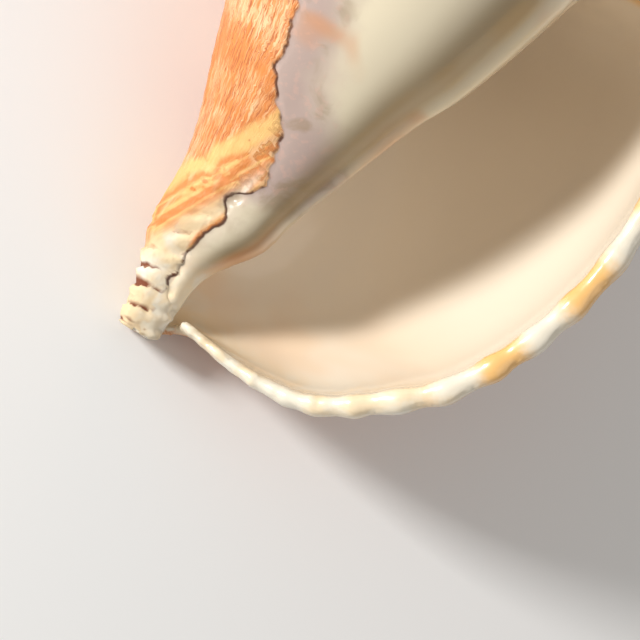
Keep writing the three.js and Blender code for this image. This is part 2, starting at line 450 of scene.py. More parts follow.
@dataclass
class LastWhorl:
    """The wall that winds round the core and spreads into the lobed lip."""

    form: GrowthForm
    rows: int = 230
    columns: int = 210
    rim_steps: int = 6
    crowding: float = 1.15
    roundness: float = 0.38

    def thickness(self, stage: np.ndarray, across: np.ndarray) -> np.ndarray:
        """Return the wall's thickness, with its rounded lobes at the lip."""
        form = self.form
        rim = smooth((stage + form.rim_turns) / form.rim_turns)
        rim = rim * smooth((1 - across) / form.canal_share)
        swell = rim * form.lobe_height * (1 + np.cos(TURN * form.lobes * across))
        return form.wall + rim * (form.lip_thickness - form.wall) + swell

    def build(self) -> tuple[bpy.types.Object, Samples]:
        """Shape a grid into a closed sheet: inner face, rounded rim, outer face.

        Returns:
            The closed piece, in mm on its own axis, and its samples.
        """
        form, n, k = self.form, self.rows, self.rim_steps
        ring = 2 * (n + 1) + k
        grid = add_grid("last_whorl", ring, self.columns + 2)
        flat = read_points(grid)
        last = self.columns + 2
        i = np.rint((flat[:, 1] + 1) / 2 * ring).astype(int) % ring
        j = np.rint((flat[:, 0] + 1) / 2 * last).astype(int)
        ends = (j == 0) | (j == last)
        across = np.clip((j - 1) / self.columns, 0.0, 1.0)
        inner, outer = i <= n, i > n + k
        row = np.where(inner, i, np.where(outer, ring - 1 - i, n))
        first = form.core_end - form.start_overlap
        stage = first * (1 - row / n) ** self.crowding
        sunk = 1 - smooth((stage - first) / form.wall_turns)
        thick = self.thickness(stage, across)
        out = thick - sunk * (thick + form.wall_sink / 4)
        lipwards = form.inner_face(np.zeros_like(stage), across)
        lipwards = lipwards - form.inner_face(np.full_like(stage, -form.probe), across)
        lipwards = lipwards / np.linalg.norm(lipwards, axis=1, keepdims=True)
        turn = np.where(inner, 0.0, np.where(outer, 1.0, (i - n) / (k + 1))) * math.pi
        depth = (1 - np.cos(turn)) / 2
        sink = sunk * form.wall_sink
        move = np.where(ends, -sink, depth * out - (1 - depth) * sink)
        bulge = np.where(ends, 0.0, self.roundness * thick * np.sin(turn))
        points = form.inner_face(stage, across) - form.inwards(stage, across) * move[:, None]
        points = points + lipwards * bulge[:, None]
        rim_or_outer = np.where(outer, Face.OUTER.value, Face.RIM.value)
        face = np.where(inner, Face.INNER.value, rim_or_outer)
        write_points(grid, points)
        close_seams(grid)
        return grid, Samples(points, stage, across, face)


@dataclass
class Grain:
    """Smooth random relief from a seeded table of heights."""

    seed: int
    size: int = 256
    table: np.ndarray = field(init=False)

    def __post_init__(self) -> None:
        """Fill the table."""
        shape = (self.size, self.size)
        self.table = np.random.default_rng(self.seed).uniform(-1, 1, shape)

    def at(self, u: np.ndarray, v: np.ndarray) -> np.ndarray:
        """Read the relief.

        Args:
            u: First coordinate, one bump per unit.
            v: Second coordinate, one bump per unit.

        Returns:
            Heights from -1 to 1.
        """
        i, j = np.floor(u).astype(int), np.floor(v).astype(int)
        a, b = smooth(u - i), smooth(v - j)
        t, n = self.table, self.size
        i0, i1, j0, j1 = i % n, (i + 1) % n, j % n, (j + 1) % n
        low = t[i0, j0] * (1 - a) + t[i1, j0] * a
        high = t[i0, j1] * (1 - a) + t[i1, j1] * a
        return low * (1 - b) + high * b


@dataclass
class Survey:
    """Where every point of the finished surface lies on the shell.

    Heights and distances are in mm, stages in turns and azimuths in radians.
    """

    form: GrowthForm
    points: np.ndarray
    stage: np.ndarray = field(init=False)
    bare: np.ndarray = field(init=False)
    inside: np.ndarray = field(init=False)
    rim: np.ndarray = field(init=False)
    rim_across: np.ndarray = field(init=False)
    edge: np.ndarray = field(init=False)
    cord: np.ndarray = field(init=False)
    band: np.ndarray = field(init=False)
    outer: np.ndarray = field(init=False)
    pattern: np.ndarray = field(init=False)
    join_slack: float = 0.3
    cord_azimuth: float = -0.52
    cord_fade: float = 0.2
    column_stage: float = -0.77
    column_azimuth: float = -0.6
    right_azimuth: float = 1.0
    left_stage: float = -0.74
    left_azimuth: float = -1.7
    front_azimuth: float = 0.3
    front_stage: float = -0.45
    glaze_height: float = 152.0
    edge_fade: float = 1.5
    far: float = 60.0
    band_stage: float = -0.4
    band_height: float = 43.4
    band_side: float = 14.1
    band_slope: float = 2.3
    band_unit: float = 2.5
    no_band: float = 40.0
    spire_stretch: float = 1.25
    streak_radius: float = 44.0
    rim_length: float = 210.0
    glaze_edge: tuple = (
        (150, 34), (146, 14), (140, -6), (130, -20), (115, -27), (100, -24), (83, -17),
        (73, -13), (64, -3), (54, 0), (45, 0), (37, -1.5), (28, -4.3), (24, -4.4),
        (16, -1.6), (9, 0.7), (6, 4.9), (-4, 6),
    )

    def measure(self, samples: Samples) -> None:
        """Fill in every coordinate from the nearest samples.

        Args:
            samples: Points of the growth form.
        """
        form, p = self.form, self.points
        found = self.nearest(samples.points, p)[0]
        face = samples.face[found]
        rims = np.flatnonzero(samples.face == Face.RIM.value)
        rim_found, self.rim = self.nearest(samples.points[rims], p)
        self.rim_across = samples.across[rims][rim_found]
        height = p[:, 2]
        azimuth = np.arctan2(p[:, 1], p[:, 0] - form.middle_at(height))
        last = -np.mod(azimuth - form.lip_azimuth, TURN) / TURN
        core = face == Face.CORE.value
        older = core & (height > form.suture(last) - self.join_slack)
        under = core & ~older
        inner = face == Face.INNER.value
        self.cord = azimuth
        self.outer = face == Face.OUTER.value
        self.stage = np.where(core, last - 1, samples.stage[found])
        for turn in range(2, form.older_whorls + 1):
            above = older & (height > form.suture(self.stage))
            self.stage = np.where(above, last - turn, self.stage)
        hollow = self.hollow_side(azimuth, last)
        self.inside = np.where(inner, 1.0, np.where(under, hollow, 0.0))
        wall_out = self.outer | (face == Face.RIM.value)
        front = (p[:, 1] < 0) & ~inner & (azimuth < self.front_azimuth)
        front = front & (height < self.glaze_height)
        front = front & ~(wall_out & (samples.stage[found] > self.front_stage))
        self.edge = self.glaze_reach(front, older)
        bare = np.where(wall_out | older, 1.0, 0.0)
        self.bare = bare * (1 - smooth(self.edge / self.edge_fade))
        self.band = np.where(older, self.no_band, self.band_reach())
        across = np.where(core, 0.5, samples.across[found])
        self.pattern = self.streak_place(across, older, under)

    def hollow_side(self, azimuth: np.ndarray, last: np.ndarray) -> np.ndarray:
        """Return 1 where the core faces the hollow, 0 where it faces out.

        Args:
            azimuth: Angle round the axis.
            last: Stage of the last whorl at that angle.

        Returns:
            A share, eased across the cord.
        """
        column = (last > self.column_stage) & (azimuth > self.column_azimuth)
        left = (last > self.left_stage) & (azimuth < self.left_azimuth)
        hidden = column | (azimuth > self.right_azimuth) | left
        past_cord = smooth((azimuth - self.cord_azimuth) / self.cord_fade)
        return np.where(hidden, np.where(azimuth < 0, past_cord, 1.0), 0.0)

    def glaze_reach(self, front: np.ndarray, older: np.ndarray) -> np.ndarray:
        """Measure how far each point lies past the glaze's edge.

        Args:
            front: Whether the point is on the front of the last whorl.
            older: Whether the point is on the spire.

        Returns:
            Distances, far out where there is no glaze and far in inside.
        """
        knots = np.array(self.glaze_edge, float)
        edge = self.points[:, 0] - along(knots[:, 0], knots[:, 1], self.points[:, 2])
        elsewhere = np.where(older, np.minimum(edge, -1.0), -self.far)
        edge = np.where(front & ~older, edge, elsewhere)
        return np.where(self.inside > 0.5, self.far, edge)

    def band_reach(self) -> np.ndarray:
        """Return the distance above the pale band that crosses the last whorl."""
        p = self.points
        reach = np.hypot(p[:, 0] - self.form.middle_at(p[:, 2]), p[:, 1])
        lean = np.where(p[:, 1] < 0, p[:, 0], -reach) + self.band_side
        band = (p[:, 2] - self.band_height - self.band_slope * lean) / self.band_unit
        return np.where(self.stage < self.band_stage, band, self.no_band)

    def streak_place(
        self, across: np.ndarray, older: np.ndarray, under: np.ndarray
    ) -> np.ndarray:
        """Unroll the surface for the streaks.

        Args:
            across: 0 at the join with the whorl before, 1 at the canal.
            older: Whether the point is on the spire.
            under: Whether the point is on the rest of the core.

        Returns:
            Distance round the axis, distance up the whorl, distance along the rim.
        """
        height = self.points[:, 2]
        length = self.form.suture(np.minimum(self.stage, 0)) - self.form.tip
        up = np.where(older, height * self.spire_stretch, (1 - across) * length)
        up = np.where(under, height, up)
        arc = self.stage * TURN * self.streak_radius
        return np.stack([arc, up, self.rim_across * self.rim_length], axis=1)

    @staticmethod
    def nearest(sources: np.ndarray, points: np.ndarray) -> tuple[np.ndarray, np.ndarray]:
        """Find the nearest source of each point.

        Args:
            sources: Points to find.
            points: Points to find them for.

        Returns:
            Index of the nearest source, and its distance.
        """
        tree = kdtree.KDTree(len(sources))
        for index, source in enumerate(sources):
            tree.insert(source, index)
        tree.balance()
        hits = [tree.find(point) for point in points]
        return np.array([hit[1] for hit in hits]), np.array([hit[2] for hit in hits])


@dataclass
class SurfaceRelief:
    """Growth folds, flaking layers and folds of the lip, in mm along the normal.

    Each *_grain field is the size of a random bump, round the axis and up it.
    """

    fine: Grain = field(default_factory=lambda: Grain(seed=3))
    broad: Grain = field(default_factory=lambda: Grain(seed=5))
    drift: Grain = field(default_factory=lambda: Grain(seed=7))
    ragged: Grain = field(default_factory=lambda: Grain(seed=11))
    growth_fold: float = 0.22
    fold_grain: Span = (3.2, 34.0)
    fold_waver: float = 0.6
    waver_grain: Span = (20.0, 14.0)
    swell: float = 1.3
    swell_grain: Span = (11.0, 70.0)
    fold_depth: float = 0.6
    spiral_cord: float = 0.2
    cord_pitch: float = 4.6
    cord_grain: Span = (30.0, 20.0)
    lower_cords: float = 0.3
    cord_height: float = 105.0
    cord_rise: float = 25.0
    flake: float = 1.15
    layer_pitch: float = 5.8
    layer_start: float = 0.74
    layer_lean: float = 0.4
    layer_waver: float = 1.6
    layer_grain: Span = (8.0, 9.0)
    layer_face: float = 0.9
    layer_break: float = 0.1
    crumble: float = 0.22
    crumble_grain: Span = (1.8, 1.6)
    crumbs_per_layer: float = 4.0
    crumb_length: float = 9.0
    glaze_step: float = 0.5
    step_width: float = 0.7
    step_flat: float = 1.5
    step_fade: float = 12.0
    groove: float = 0.4
    groove_place: float = 0.5
    groove_width: float = 0.9
    lip_fold: float = 0.3
    fold_reach: float = 19.0
    lobe_crest: float = 0.9
    torn_from: float = 0.84
    torn_fade: float = 0.26
    whole_from: float = 0.02
    whole_fade: float = 0.08
    torn: float = 0.5
    torn_reach: float = 2.5
    tears: float = 90.0
    tear_grain: float = 6.0
    chip: float = 1.6
    chip_width: float = 2.2
    chip_place: Triple = (49.0, -17.0, 9.5)
    band_fade: float = 4.0
    flaking_from: float = 14.0
    flaking_fade: float = 6.0
    lower_edge: Span = (0.5, 1.5)
    edge_waver: Triple = (3.4, 1.2, 0.5)
    edge_grain: tuple[Span, Span, Span] = ((30.0, 8.0), (9.0, 2.6), (3.0, 1.1))
    edge_start: float = 0.5

    def heights(self, survey: Survey) -> np.ndarray:
        """Return how far each point moves out along its normal.

        Args:
            survey: The measured surface.

        Returns:
            Heights in mm.
        """
        low = self.lower_mask(survey)
        move = survey.bare * self.folds_and_cords(survey)
        move = move * (1 - low) + self.flakes(survey, low)
        for step in (self.glaze_edge, self.torn_ends, self.lip_folds):
            move = move + step(survey)
        away = np.linalg.norm(survey.points - np.array(self.chip_place), axis=1)
        return move - self.chip * bell(away / self.chip_width)

    def folds_and_cords(self, survey: Survey) -> np.ndarray:
        """Return the growth folds and spiral cords of the bare outside."""
        u, v = survey.pattern[:, 0], survey.pattern[:, 1]
        waver = self.broad.at(u / self.waver_grain[0], v / self.waver_grain[1])
        across = u / self.fold_grain[0] + self.fold_waver * waver
        folds = self.fine.at(across, v / self.fold_grain[1])
        swell = self.broad.at(u / self.swell_grain[0], v / self.swell_grain[1])
        folds = self.growth_fold * (folds + self.swell * swell - self.fold_depth)
        shift = self.broad.at(u / self.cord_grain[0], v / self.cord_grain[1])
        cords = self.spiral_cord * (np.cos(TURN * v / self.cord_pitch + shift) - 1)
        upper = smooth((survey.points[:, 2] - self.cord_height) / self.cord_rise)
        return folds + cords * (self.lower_cords + (1 - self.lower_cords) * upper)

    def flakes(self, survey: Survey, low: np.ndarray) -> np.ndarray:
        """Return the broken layers of the canal.

        Args:
            survey: The measured surface.
            low: 1 below the pale band.

        Returns:
            Heights in mm, 0 above the pale band.
        """
        x, h = survey.points[:, 0], survey.points[:, 2]
        waver = self.broad.at(x / self.layer_grain[0], h / self.layer_grain[1])
        slanted = h - self.layer_lean * x + self.layer_waver * waver
        layers = slanted / self.layer_pitch - self.layer_start
        tooth = np.mod(layers, 1.0)
        broken = (1 - tooth) / self.layer_break
        layer = np.where(tooth < self.layer_face, tooth / self.layer_face, broken)
        crumbs = self.ragged.at(x / self.crumble_grain[0], h / self.crumble_grain[1])
        crumbs = crumbs + self.fine.at(layers * self.crumbs_per_layer, x / self.crumb_length)
        flaking = self.flake * (layer - self.layer_face) * self.canal_mask(survey)
        return flaking + self.crumble * (crumbs - 1) * low

    def glaze_edge(self, survey: Survey) -> np.ndarray:
        """Return the raised edge of the outer layer and the groove beside it."""
        edge = self.ragged_edge(survey)
        out = np.where(survey.inside > 0.5, 0.0, 1.0)
        fade = 1 - smooth((-edge - self.step_flat) / self.step_fade)
        proud = smooth(-edge / self.step_width) * fade * out
        groove = bell((edge - self.groove_place) / self.groove_width)
        return self.glaze_step * (proud - self.groove * groove * out)

    def whole_lip(self, survey: Survey) -> np.ndarray:
        """Return 1 where the lip is whole, 0 at its ends."""
        along_rim = survey.rim_across
        whole = smooth((self.torn_from - along_rim) / self.torn_fade)
        return whole * smooth((along_rim - self.whole_from) / self.whole_fade)

    def torn_ends(self, survey: Survey) -> np.ndarray:
        """Return the tears at the lip's ends."""
        tears = self.ragged.at(
            survey.rim_across * self.tears, survey.points[:, 2] / self.tear_grain
        )
        torn = self.torn * (1 - self.whole_lip(survey))
        return torn * (1 - smooth(survey.rim / self.torn_reach)) * (tears - 1)

    def lip_folds(self, survey: Survey) -> np.ndarray:
        """Return the folds of the lip."""
        close = 1 - smooth(survey.rim / self.fold_reach)
        lobes = np.cos(TURN * survey.form.lobes * survey.rim_across)
        folded = np.where(survey.outer, 0.0, self.lip_fold)
        return folded * close * self.whole_lip(survey) * (lobes - self.lobe_crest)

    def canal_mask(self, survey: Survey) -> np.ndarray:
        """Return 1 on the flaking band that wraps the canal."""
        above = smooth((survey.band + self.flaking_from) / self.flaking_fade)
        return self.lower_mask(survey) * (1 - above)

    def lower_mask(self, survey: Survey) -> np.ndarray:
        """Return 1 below the pale band that ends the streaks."""
        outer = (survey.inside < 0.5) & (survey.stage < survey.band_stage)
        above = smooth((survey.band + self.band_fade) / self.band_fade)
        below = (1 - above) * np.where(outer, 1.0, 0.0)
        start, fade = self.lower_edge
        return below * (1 - smooth((survey.edge + start) / fade))

    def ragged_edge(self, survey: Survey) -> np.ndarray:
        """Return the distance into the glaze from its ragged edge, in mm."""
        x, h = survey.points[:, 0], survey.points[:, 2]
        (x0, h0), (x1, h1), (x2, h2) = self.edge_grain
        wide, middle, small = self.edge_waver
        edge = survey.edge + wide * self.drift.at(x / x0 + self.edge_start, h / h0)
        edge = edge + middle * self.ragged.at(x / x1, h / h1)
        return edge + small * self.ragged.at(x / x2, h / h2)


@dataclass
class ConchShell:
    """The whole shell as one grown piece."""

    form: GrowthForm
    resting: Resting
    relief: SurfaceRelief
    voxel: float = 1.0
    relax_share: float = 0.4
    relax_steps: int = 3
    most_triangles: int = 192000
    outer_rim: float = 2.5

    def build(self, box: tuple[Vector, Vector]) -> tuple[bpy.types.Object, Survey]:
        """Fuse the whorls, carve the relief and lay the shell at rest.

        Args:
            box: Lowest and highest corner of the space the shell fills.

        Returns:
            The finished piece and its survey.
        """
        core, core_samples = CoreWhorls(self.form).build()
        wall, wall_samples = LastWhorl(self.form).build()
        bpy.ops.object.select_all(action="DESELECT")
        core.select_set(True)
        wall.select_set(True)
        bpy.context.view_layer.objects.active = core
        bpy.ops.object.join()
        core.name = "conch_shell"
        self.fuse(core)
        samples = Samples(
            *(
                np.concatenate([getattr(core_samples, key), getattr(wall_samples, key)])
                for key in ("points", "stage", "across", "face")
            )
        )
        survey = Survey(self.form, read_points(core))
        survey.measure(samples)
        normals = np.empty(len(core.data.vertices) * 3)
        core.data.vertices.foreach_get("normal", normals)
        height = self.relief.heights(survey)
        carved = survey.points + normals.reshape(-1, 3) * height[:, None]
        self.store(core, survey, height)
        self.lay_down(core, carved, box)
        self.thin_out(core)
        return core, survey

    def fuse(self, piece: bpy.types.Object) -> None:
        """Merge the closed sheets into one skin and even it out."""
        remesh = piece.modifiers.new("skin", "REMESH")
        remesh.mode = "VOXEL"
        remesh.voxel_size = self.voxel
        relax = piece.modifiers.new("relax", "SMOOTH")
        relax.factor = self.relax_share
        relax.iterations = self.relax_steps
        for modifier in ("skin", "relax"):
            bpy.ops.object.modifier_apply(modifier=modifier)
        bpy.ops.object.mode_set(mode="EDIT")
        bpy.ops.mesh.select_all(action="SELECT")
        bpy.ops.mesh.normals_make_consistent(inside=False)
        bpy.ops.object.mode_set(mode="OBJECT")
        log.info("skin has %d faces", len(piece.data.polygons))

    def thin_out(self, piece: bpy.types.Object) -> None:
        """Drop triangles where the carved skin is flattest."""
        thin = piece.modifiers.new("thin", "DECIMATE")
        thin.ratio = min(1.0, self.most_triangles / (2 * len(piece.data.polygons)))
        bpy.ops.object.modifier_apply(modifier="thin")
        bpy.ops.object.shade_smooth()
        log.info("thinned to %d faces", len(piece.data.polygons))

    def lay_down(
        self, piece: bpy.types.Object, points: np.ndarray, box: tuple[Vector, Vector]
    ) -> None:
        """Turn the piece to its resting place, inside the box."""
        placed = points @ self.resting.basis().T * MM
        placed = placed + self.resting.shift(placed, box)
        placed = np.clip(placed, np.array(box[0]), np.array(box[1]))
        write_points(piece, placed)
        piece.select_set(True)
        bpy.context.view_layer.objects.active = piece

    def store(self, piece: bpy.types.Object, survey: Survey, height: np.ndarray) -> None:
        """Keep the survey on the mesh for the finish to read."""
        edge = self.relief.ragged_edge(survey)
        values = {
            "inside": survey.inside,
            "rim": np.where(survey.outer, self.outer_rim * survey.rim, survey.rim),
            "edge": np.where(survey.inside > 0.5, survey.far, edge),
            "canal": self.relief.canal_mask(survey),
            "band": survey.band,
            "cord": survey.cord,
            "hollow": height,
            "axis": survey.points[:, 2],
        }
        for name, data in values.items():
            layer = piece.data.attributes.new(name, "FLOAT", "POINT")
            layer.data.foreach_set("value", np.asarray(data, np.float32))
        layer = piece.data.attributes.new("pattern", "FLOAT_VECTOR", "POINT")
        layer.data.foreach_set("vector", survey.pattern.astype(np.float32).ravel())


@dataclass(frozen=True)
class StreakedFinish:
    """The unglazed outside: wavy growth streaks in cream, orange and brown.

    Each *_grain field stretches the unrolled surface, each *_noise field is a
    noise's scale on the piece, and each *_span is the stretch over which a
    colour comes in.
    """

    cream: Triple = (0.80, 0.50, 0.26)
    yellow: Triple = (0.84, 0.50, 0.17)
    orange: Triple = (0.66, 0.22, 0.048)
    brown: Triple = (0.34, 0.075, 0.02)
    roughness: float = 0.5
    streak_grain: Triple = (0.8, 0.11, 0.0)
    hair_grain: Triple = (1.7, 0.22, 0.0)
    band_grain: Triple = (0.012, 0.07, 0.0)
    patch_grain: Triple = (0.05, 0.05, 0.0)
    streak_share: float = 0.7
    hair_share: float = 0.3
    band_share: float = 0.7
    tone_span: Span = (0.42, 0.70)
    dark_hair_span: Span = (0.50, 0.38)
    dark_patch_span: Span = (0.28, 0.50)
    darkness: float = 0.7
    hair_relief: float = 0.6
    streak_relief: float = 0.4
    lines_per_unit: float = 0.55
    line_waver: float = 3.5
    soft_noise: float = 70.0
    line_span: Span = (0.44, 0.72)
    pale_patch_span: Span = (0.50, 0.64)
    pale_patch: float = 0.7
    band_waver: float = 9.0
    below_span: Span = (0.0, -3.0)
    pale_low_span: Span = (-3.2, -1.0)
    pale_high_span: Span = (3.2, 1.0)
    pale: float = 0.85
    pit_noise: float = 330.0
    pit_span: Span = (0.24, 0.14)
    pitted_span: Span = (0.56, 0.62)


@dataclass(frozen=True)
class ChalkyFinish:
    """The flaking canal: chalky cream layers with red-brown cracks."""

    chalk: Triple = (0.84, 0.77, 0.64)
    cream: Triple = (0.86, 0.66, 0.40)
    crack: Triple = (0.20, 0.05, 0.015)
    roughness: float = 0.75
    dust_noise: float = 260.0
    patch_noise: float = 70.0
    chalk_span: Span = (0.42, 0.62)
    crack_span: Span = (-0.55, -1.0)
    near_glaze_span: Span = (-8.0, -3.0)
    near_glaze: float = 0.9
    stain_noise: float = 75.0
    stain_span: Span = (0.38, 0.50)
    dust_span: Span = (0.55, 0.75)
    dust: float = 0.35


@dataclass(frozen=True)
class GlazedFinish:
    """The inner lip: lilac grey at its cracked edge, then cream, with olive dirt mottling and a
    painted olive shade in the valley beside the cord.
    """

    lilac: Triple = (0.44, 0.33, 0.285)
    blush: Triple = (0.62, 0.38, 0.30)
    cream: Triple = (0.70, 0.61, 0.44)
    # olive colours both the dirt mottling near the edge and the painted shade in the valley
    # beside the cord
    olive_dirt_and_shade: Triple = (0.26, 0.175, 0.075)
    orange: Triple = (0.62, 0.25, 0.08)
    edge: Triple = (0.10, 0.03, 0.012)
    roughness: float = 0.3
    cloud_noise: float = 45.0
    cloud_waver: float = 14.0
    lower_span: Span = (60.0, 32.0)
    lower_shift: float = 16.0
    cream_span: Span = (6.0, 24.0)
    dirt_noise: float = 95.0
    dirt_span: Span = (0.50, 0.66)
    dirt_reach: Span = (26.0, 10.0)
    dirt: float = 0.45
    speck_noise: float = 380.0
    speck_span: Span = (0.52, 0.66)
    speck_reach: Span = (24.0, 8.0)
    speck: float = 0.35
    smudge_noise: float = 28.0
    smudge_span: Span = (0.56, 0.70)
    smudge: float = 0.55
    # where the painted olive shade lies in the valley just before the cord, and how strong it is
    valley_shade_right: Span = (-1.3, -0.85)
    valley_shade_left: Span = (-0.56, -0.74)
    valley_shade: float = 0.8
    warm_height: Span = (52.0, 20.0)
    warm_turn: Span = (-0.95, -0.65)
    warm: float = 0.85
    broken_noise: float = 150.0
    broken_span: Span = (0.44, 0.56)
    broken_height: Span = (48.0, 38.0)
    crack_inner: Span = (0.75, 0.15)
    crack_outer: Span = (-0.9, -0.1)
    crack: float = 0.9


@dataclass(frozen=True)
class MouthFinish:
    """The mouth: glossy white cream with peach low down."""

    cream: Triple = (0.86, 0.75, 0.60)
    peach: Triple = (0.86, 0.60, 0.38)
    roughness: float = 0.14
    cloud_noise: float = 30.0
    cloud_span: Span = (0.35, 0.65)
    peach_height: Span = (60.0, 15.0)
    peach_share: float = 0.55


@dataclass(frozen=True)
class LipFinish:
    """The rolled lip: glossy lobes in orange and white patches."""

    white: Triple = (0.85, 0.77, 0.62)
    peach: Triple = (0.88, 0.68, 0.42)
    orange: Triple = (0.90, 0.52, 0.18)
    patch_pitch: float = 23.0
    patch_start: float = 111.0
    patch_end: float = 126.0
    patch_fade: float = 6.0
    patch_span: Span = (-0.9, 0.7)
    fine_noise: float = 90.0
    waver: float = 7.0
    depth_waver: float = 8.0
    depth_span: Span = (26.0, 12.0)
    peach_place: Span = (118.0, 132.0)
    peach_span: Span = (0.35, 0.65)
    peach_share: float = 0.8


class Graph:
    """A short way to wire a node material."""

    def __init__(self, name: str) -> None:
        """Start an empty material."""
        self.material = bpy.data.materials.new(name)
        self.material.use_nodes = True
        self.tree = self.material.node_tree
        self.tree.nodes.clear()

    def node(self, kind: str, settings: dict | None = None, **inputs: object) -> bpy.types.Node:
        """Add a node.

        Args:
            kind: The node's type.
            settings: Properties to set on it.
            inputs: Values or sockets by input name, spaces as underscores.

        Returns:
            The new node.
        """
        made = self.tree.nodes.new(kind)
        for key, value in (settings or {}).items():
            setattr(made, key, value)
        for key, value in inputs.items():
            socket = made.inputs[key.replace("_", " ")]
            self.feed(socket, value)
        return made

    def feed(self, socket: bpy.types.NodeSocket, value: object) -> None:
        """Link a socket or set its value."""
        if isinstance(value, bpy.types.NodeSocket):
            self.tree.links.new(value, socket)
        elif isinstance(value, tuple) and len(value) == 3 and socket.type == "RGBA":
            socket.default_value = (*value, 1.0)
        else:
            socket.default_value = value

    def finished(self, **inputs: object) -> bpy.types.Material:
        """Wire the surface to the output.

        Args:
            inputs: The surface's values or sockets, as for node.

        Returns:
            The finished material.
        """
        shader = self.node("ShaderNodeBsdfPrincipled", **inputs)
        output = self.node("ShaderNodeOutputMaterial")
        self.tree.links.new(shader.outputs[0], output.inputs[0])
        return self.material

    def math(self, operation: str, *values: object) -> bpy.types.NodeSocket:
        """Combine numbers."""
        made = self.node("ShaderNodeMath", {"operation": operation})
        for socket, value in zip(made.inputs, values):
            self.feed(socket, value)
        return made.outputs[0]

    def times(self, a: object, b: object) -> bpy.types.NodeSocket:
        """Multiply two numbers."""
        return self.math("MULTIPLY", a, b)

    def plus(self, a: object, b: object) -> bpy.types.NodeSocket:
        """Add two numbers."""
        return self.math("ADD", a, b)

    def waver(self, noise: object, width: float) -> bpy.types.NodeSocket:
        """Spread noise from 0 to 1 over a width, about 0."""
        return self.times(self.math("SUBTRACT", noise, 0.5), width)

    def span(self, value: object, low: float, high: float) -> bpy.types.NodeSocket:
        """Ease from 0 to 1 as a value goes from low to high."""
        made = self.node(
            "ShaderNodeMapRange", {"interpolation_type": "SMOOTHSTEP"},
            Value=value, From_Min=low, From_Max=high,
        )
        return made.outputs[0]

    def mix(self, factor: object, a: object, b: object) -> bpy.types.NodeSocket:
        """Mix two colours."""
        made = self.node("ShaderNodeMix", {"data_type": "RGBA"})
        for index, value in zip(MIX_COLOUR_INPUTS, (factor, a, b)):
            self.feed(made.inputs[index], value)
        return made.outputs[MIX_COLOUR_OUTPUT]

    def attribute(self, name: str, output: str = "Fac") -> bpy.types.NodeSocket:
        """Read what the mesh keeps under a name."""
        return self.node("ShaderNodeAttribute", {"attribute_name": name}).outputs[output]

    def place(self) -> bpy.types.NodeSocket:
        """Read the place on the piece."""
        return self.node("ShaderNodeTexCoord").outputs["Object"]

    def scaled(self, vector: bpy.types.NodeSocket, scale: Triple) -> bpy.types.NodeSocket:
        """Stretch pattern coordinates."""
        return self.node("ShaderNodeMapping", Vector=vector, Scale=scale).outputs[0]

    def noise(
        self, vector: bpy.types.NodeSocket, scale: float, detail: float = 3.0, warp: float = 0.0
    ) -> bpy.types.NodeSocket:
        """Add noise from 0 to 1."""
        made = self.node(
            "ShaderNodeTexNoise", Vector=vector, Scale=scale, Detail=detail, Distortion=warp
        )
        return made.outputs[0]


